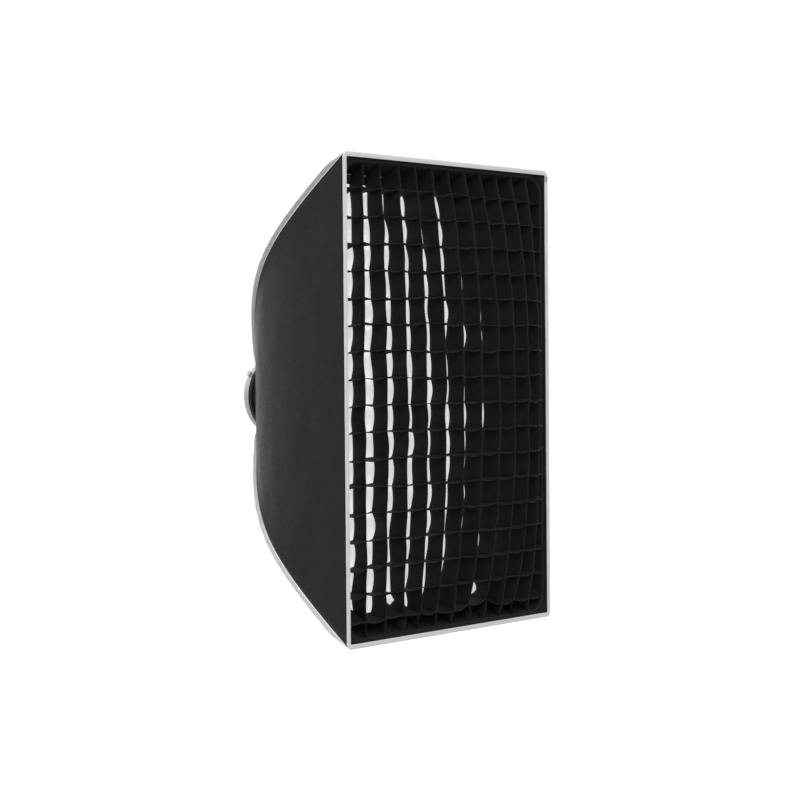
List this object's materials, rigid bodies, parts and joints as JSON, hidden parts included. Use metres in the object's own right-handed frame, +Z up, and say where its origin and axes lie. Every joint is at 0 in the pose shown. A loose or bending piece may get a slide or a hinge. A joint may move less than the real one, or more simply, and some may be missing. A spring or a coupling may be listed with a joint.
{
  "type": "rectangular softbox",
  "caption": "Rectangular fabric softbox on four sprung corner rods, with a turning bayonet ring, front diffuser, inner baffle and lift-off fabric grid.",
  "frame": {"origin": "middle of the overall box, on the optical axis; the adapter's rear mounting face is at y = 0.26328 m and the front rim at y = -0.23672 m", "axes": "+Y out of the back into the lamp, -Y the way the light leaves, +Z up along the long side, +X to the right seen from the front"},
  "size_m": [0.6, 0.5486, 0.9006],
  "materials": {
    "black_nylon": "matt coated woven nylon",
    "silver_lining": "pebbled silver coated cloth",
    "silver_tape": "ribbed silver grey binding tape",
    "black_loop_tape": "black loop tape and webbing",
    "white_hook_tape": "white hook tape",
    "white_cloth": "white translucent diffusion cloth",
    "grid_ribbon": "black woven grid ribbon",
    "rod_steel": "bright sprung rod",
    "plated_steel": "zinc plated steel",
    "black_plastic": "moulded black nylon plastic",
    "cast_aluminium": "satin silver anodised casting",
    "painted_steel": "black powder coat",
    "acetal": "white slippery plastic",
    "white_elastic": "white braided elastic"
  },
  "bodies": {
    "adapter": {"bayonet_adapter": "cast_aluminium"},
    "box": {"panel_left": "black_nylon", "panel_right": "black_nylon", "panel_top": "black_nylon", "panel_bottom": "black_nylon", "lining_left": "silver_lining", "lining_right": "silver_lining", "lining_top": "silver_lining", "lining_bottom": "silver_lining", "seam_binding_upper_left": "silver_tape", "seam_binding_upper_right": "silver_tape", "seam_binding_lower_left": "silver_tape", "seam_binding_lower_right": "silver_tape", "rim_binding": "silver_tape", "front_lip": "black_loop_tape", "rear_collar": "black_nylon", "rod_upper_left": "rod_steel", "rod_ferrule_upper_left": "plated_steel", "rod_tip_upper_left": "black_plastic", "corner_pocket_upper_left": "black_loop_tape", "rod_upper_right": "rod_steel", "rod_ferrule_upper_right": "plated_steel", "rod_tip_upper_right": "black_plastic", "corner_pocket_upper_right": "black_loop_tape", "rod_lower_left": "rod_steel", "rod_ferrule_lower_left": "plated_steel", "rod_tip_lower_left": "black_plastic", "corner_pocket_lower_left": "black_loop_tape", "rod_lower_right": "rod_steel", "rod_ferrule_lower_right": "plated_steel", "rod_tip_lower_right": "black_plastic", "corner_pocket_lower_right": "black_loop_tape", "rod_ring": "cast_aluminium", "slip_ring": "acetal", "retaining_ring": "painted_steel", "retaining_screw_1": "plated_steel", "retaining_screw_2": "plated_steel", "retaining_screw_3": "plated_steel", "retaining_screw_4": "plated_steel", "inner_baffle": "white_cloth", "baffle_strap_upper_left": "white_elastic", "baffle_hook_upper_left": "black_plastic", "baffle_strap_upper_right": "white_elastic", "baffle_hook_upper_right": "black_plastic", "baffle_strap_lower_left": "white_elastic", "baffle_hook_lower_left": "black_plastic", "baffle_strap_lower_right": "white_elastic", "baffle_hook_lower_right": "black_plastic"},
    "clamp_screw": {"clamp_screw": "plated_steel"},
    "clamp_knob": {"clamp_knob": "cast_aluminium"},
    "grid": {"grid_crate": "grid_ribbon", "grid_border": "black_loop_tape"},
    "diffuser": {"front_diffuser": "white_cloth", "diffuser_border": "white_hook_tape"}
  },
  "joints": [
    {"name": "ring_turn", "type": "hinge", "parent": "adapter", "child": "box", "pos_m": [0, 0.26328, 0], "axis": [0, 1, 0], "continuous": true},
    {"name": "clamp_travel", "type": "slide", "parent": "box", "child": "clamp_screw", "axis": [-0.8151, 0, 0.5793], "range_m": [0, 0.002]},
    {"name": "clamp_turn", "type": "hinge", "parent": "clamp_screw", "child": "clamp_knob", "pos_m": [-0.06521, 0.25468, 0.04634], "axis": [-0.8151, 0, 0.5793], "range_deg": [0, 722]},
    {"name": "grid_lift", "type": "slide", "parent": "box", "child": "grid", "axis": [0, -1, 0], "range_m": [0, 0.16]},
    {"name": "diffuser_lift", "type": "slide", "parent": "box", "child": "diffuser", "axis": [0, -1, 0], "range_m": [0, 0.0801]}
  ],
  "couplings": [
    {"joint": "clamp_turn", "follows": "clamp_travel", "rad_per_m": 6283.2},
    {"joint": "diffuser_lift", "follows": "grid_lift", "ratio": 0.5}
  ]
}
